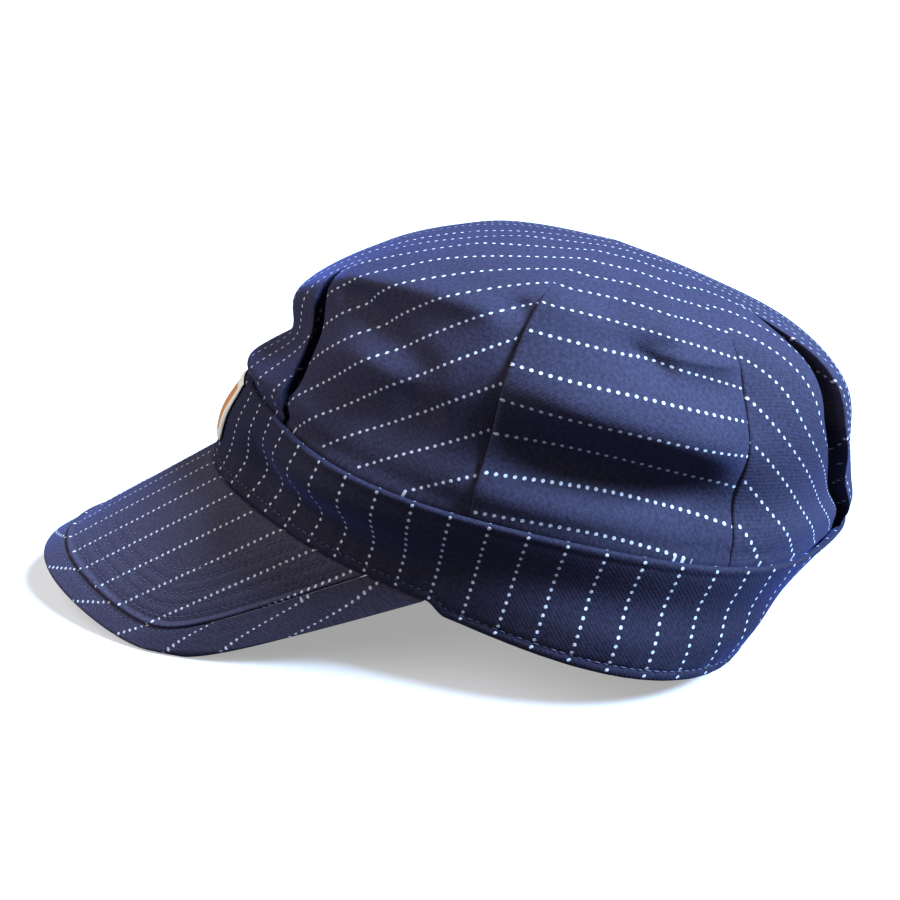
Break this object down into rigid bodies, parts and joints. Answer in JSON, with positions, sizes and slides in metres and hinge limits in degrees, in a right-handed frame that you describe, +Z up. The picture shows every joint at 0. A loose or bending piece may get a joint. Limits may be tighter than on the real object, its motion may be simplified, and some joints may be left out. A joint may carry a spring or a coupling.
{
  "type": "pleated work cap",
  "caption": "Pinstriped work cap with a pleated soft crown, a straight folded band, a stiff curved peak with a stitched border, and a blank patch on the front.",
  "frame": {"origin": "on the resting surface, under the middle of the cap's bounding box", "axes": "+X to the wearer's left, +Y to the back of the head, so the peak points to -Y, and +Z up from the resting surface"},
  "size_m": [0.1772, 0.2954, 0.124],
  "materials": {
    "crown_cloth": "matte navy twill with dotted white pinstripes",
    "band_cloth": "matte navy twill with dotted white pinstripes",
    "peak_cloth": "matte navy twill with dotted white pinstripes, quilted in rows",
    "border_cloth": "matte navy twill with dotted white pinstripes cut across the peak",
    "label_cloth": "plain woven patch, tan with a cream edge"
  },
  "bodies": {
    "root": {"crown": "crown_cloth", "band": "band_cloth", "peak_panel": "peak_cloth", "peak_border": "border_cloth", "label": "label_cloth"}
  },
  "joints": []
}
